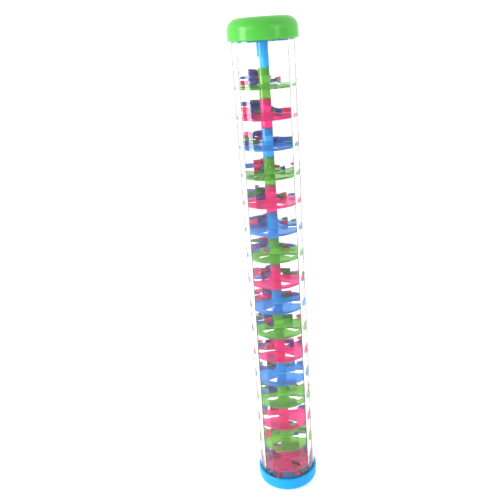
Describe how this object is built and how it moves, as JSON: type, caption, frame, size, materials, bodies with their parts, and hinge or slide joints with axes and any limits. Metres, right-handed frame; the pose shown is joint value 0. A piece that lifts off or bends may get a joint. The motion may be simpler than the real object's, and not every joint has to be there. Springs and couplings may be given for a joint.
{
  "type": "rainstick",
  "caption": "Clear toy rainstick with green and blue end caps, a stack of coloured slotted discs and loose beads that trickle between them.",
  "frame": {"origin": "centre of the base of the bottom cap", "axes": "+Z along the stick from the blue cap to the green cap; -Y towards the viewer, +X to the viewer's right"},
  "size_m": [0.0524, 0.0524, 0.4],
  "materials": {
    "clear_plastic": "clear extruded tube with flats inside",
    "green_cap_plastic": "glossy moulded",
    "blue_cap_plastic": "glossy moulded",
    "blue_plug_plastic": "glossy moulded",
    "green_tinted_plastic": "translucent moulded",
    "pink_tinted_plastic": "translucent moulded",
    "blue_tinted_plastic": "translucent moulded",
    "bead_plastic": "translucent beads in green, pink, blue and purple"
  },
  "bodies": {
    "stick": {"clear_tube": "clear_plastic", "top_cap": "green_cap_plastic", "bottom_cap": "blue_cap_plastic", "top_plug": "blue_plug_plastic", "bottom_plug": "blue_plug_plastic", "module_01_green": "green_tinted_plastic", "module_02_pink": "pink_tinted_plastic", "module_03_blue": "blue_tinted_plastic", "module_04_green": "green_tinted_plastic", "module_05_pink": "pink_tinted_plastic", "module_06_blue": "blue_tinted_plastic", "module_07_green": "green_tinted_plastic", "module_08_pink": "pink_tinted_plastic", "module_09_blue": "blue_tinted_plastic", "module_10_green": "green_tinted_plastic", "module_11_pink": "pink_tinted_plastic", "module_12_blue": "blue_tinted_plastic", "module_13_green": "green_tinted_plastic", "module_14_pink": "pink_tinted_plastic", "module_15_green": "green_tinted_plastic", "module_16_pink": "pink_tinted_plastic"},
    "beads_01": {"beads_01": "bead_plastic"},
    "beads_02": {"beads_02": "bead_plastic"},
    "beads_03": {"beads_03": "bead_plastic"},
    "beads_04": {"beads_04": "bead_plastic"},
    "beads_05": {"beads_05": "bead_plastic"},
    "beads_06": {"beads_06": "bead_plastic"},
    "beads_07": {"beads_07": "bead_plastic"},
    "beads_08": {"beads_08": "bead_plastic"},
    "beads_09": {"beads_09": "bead_plastic"},
    "beads_10": {"beads_10": "bead_plastic"},
    "beads_11": {"beads_11": "bead_plastic"},
    "beads_12": {"beads_12": "bead_plastic"},
    "beads_13": {"beads_13": "bead_plastic"},
    "beads_14": {"beads_14": "bead_plastic"},
    "beads_15": {"beads_15": "bead_plastic"},
    "beads_16": {"beads_16": "bead_plastic"},
    "beads_bottom": {"beads_bottom": "bead_plastic"}
  },
  "joints": [
    {"name": "fall_01", "type": "slide", "parent": "stick", "child": "beads_01", "axis": [0, 0, 1], "range_m": [0, 0.0176]},
    {"name": "fall_02", "type": "slide", "parent": "stick", "child": "beads_02", "axis": [0, 0, 1], "range_m": [0, 0.0093]},
    {"name": "fall_03", "type": "slide", "parent": "stick", "child": "beads_03", "axis": [0, 0, 1], "range_m": [0, 0.0084]},
    {"name": "fall_04", "type": "slide", "parent": "stick", "child": "beads_04", "axis": [0, 0, 1], "range_m": [0, 0.0098]},
    {"name": "fall_05", "type": "slide", "parent": "stick", "child": "beads_05", "axis": [0, 0, 1], "range_m": [0, 0.0096]},
    {"name": "fall_06", "type": "slide", "parent": "stick", "child": "beads_06", "axis": [0, 0, 1], "range_m": [0, 0.0103]},
    {"name": "fall_07", "type": "slide", "parent": "stick", "child": "beads_07", "axis": [0, 0, 1], "range_m": [0, 0.0091]},
    {"name": "fall_08", "type": "slide", "parent": "stick", "child": "beads_08", "axis": [0, 0, 1], "range_m": [0, 0.0078]},
    {"name": "fall_09", "type": "slide", "parent": "stick", "child": "beads_09", "axis": [0, 0, 1], "range_m": [0, 0.0099]},
    {"name": "fall_10", "type": "slide", "parent": "stick", "child": "beads_10", "axis": [0, 0, 1], "range_m": [0, 0.0073]},
    {"name": "fall_11", "type": "slide", "parent": "stick", "child": "beads_11", "axis": [0, 0, 1], "range_m": [0, 0.0112]},
    {"name": "fall_12", "type": "slide", "parent": "stick", "child": "beads_12", "axis": [0, 0, 1], "range_m": [0, 0.01]},
    {"name": "fall_13", "type": "slide", "parent": "stick", "child": "beads_13", "axis": [0, 0, 1], "range_m": [0, 0.0107]},
    {"name": "fall_14", "type": "slide", "parent": "stick", "child": "beads_14", "axis": [0, 0, 1], "range_m": [0, 0.0104]},
    {"name": "fall_15", "type": "slide", "parent": "stick", "child": "beads_15", "axis": [0, 0, 1], "range_m": [0, 0.0112]},
    {"name": "fall_16", "type": "slide", "parent": "stick", "child": "beads_16", "axis": [0, 0, 1], "range_m": [0, 0.0111]},
    {"name": "fall_bottom", "type": "slide", "parent": "stick", "child": "beads_bottom", "axis": [0, 0, 1], "range_m": [0, 0.001]}
  ]
}
